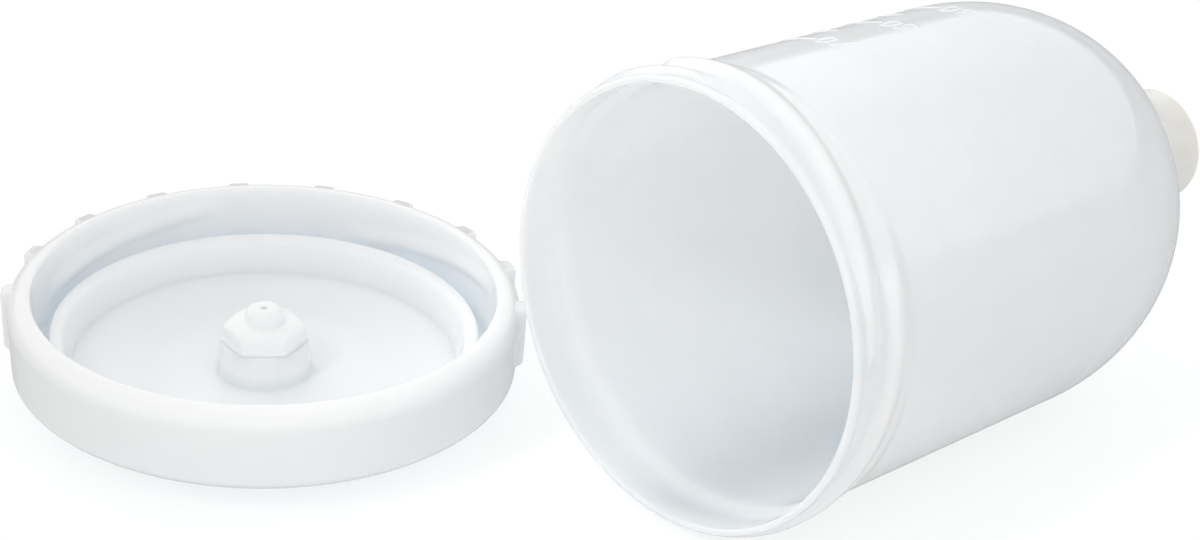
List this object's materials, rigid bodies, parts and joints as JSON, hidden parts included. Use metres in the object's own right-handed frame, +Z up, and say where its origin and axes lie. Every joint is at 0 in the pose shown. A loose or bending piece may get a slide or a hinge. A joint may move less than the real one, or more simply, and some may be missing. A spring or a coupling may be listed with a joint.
{
  "type": "paint cup with lid",
  "caption": "Translucent white plastic spray-gun paint cup lying on its side, with screw ridges, raised volume marks and an outlet tube, and its ribbed screw lid upside down beside it.",
  "frame": {"origin": "middle of the whole row's box, on the surface that the cup and the lid lie on", "axes": "+Y from the cup's mouth towards its outlet, +Z up, the lid on the -X side"},
  "size_m": [0.11, 0.127, 0.0535],
  "materials": {
    "cup_plastic": "natural translucent polypropylene, smooth satin gloss",
    "outlet_plastic": "warm white polyethylene, smooth satin",
    "lid_plastic": "natural white polypropylene, satin",
    "vent_plastic": "white polypropylene, satin",
    "ball_plastic": "white acetal, polished"
  },
  "bodies": {
    "cup": {"cup_body": "cup_plastic", "outlet_fitting": "outlet_plastic"},
    "lid": {"lid_shell": "lid_plastic"},
    "vent_cap": {"vent_cap": "vent_plastic"},
    "vent_ball": {"vent_ball": "ball_plastic"}
  },
  "joints": [
    {"name": "lid_lift", "type": "slide", "parent": "cup", "child": "lid", "axis": [0, 0, 1], "range_m": [0, 0.06]},
    {"name": "vent_cap_lift", "type": "slide", "parent": "lid", "child": "vent_cap", "axis": [0, 0, 1], "range_m": [0, 0.008]},
    {"name": "vent_ball_rise", "type": "slide", "parent": "lid", "child": "vent_ball", "axis": [0, 0, 1], "range_m": [0, 0.0033]}
  ]
}
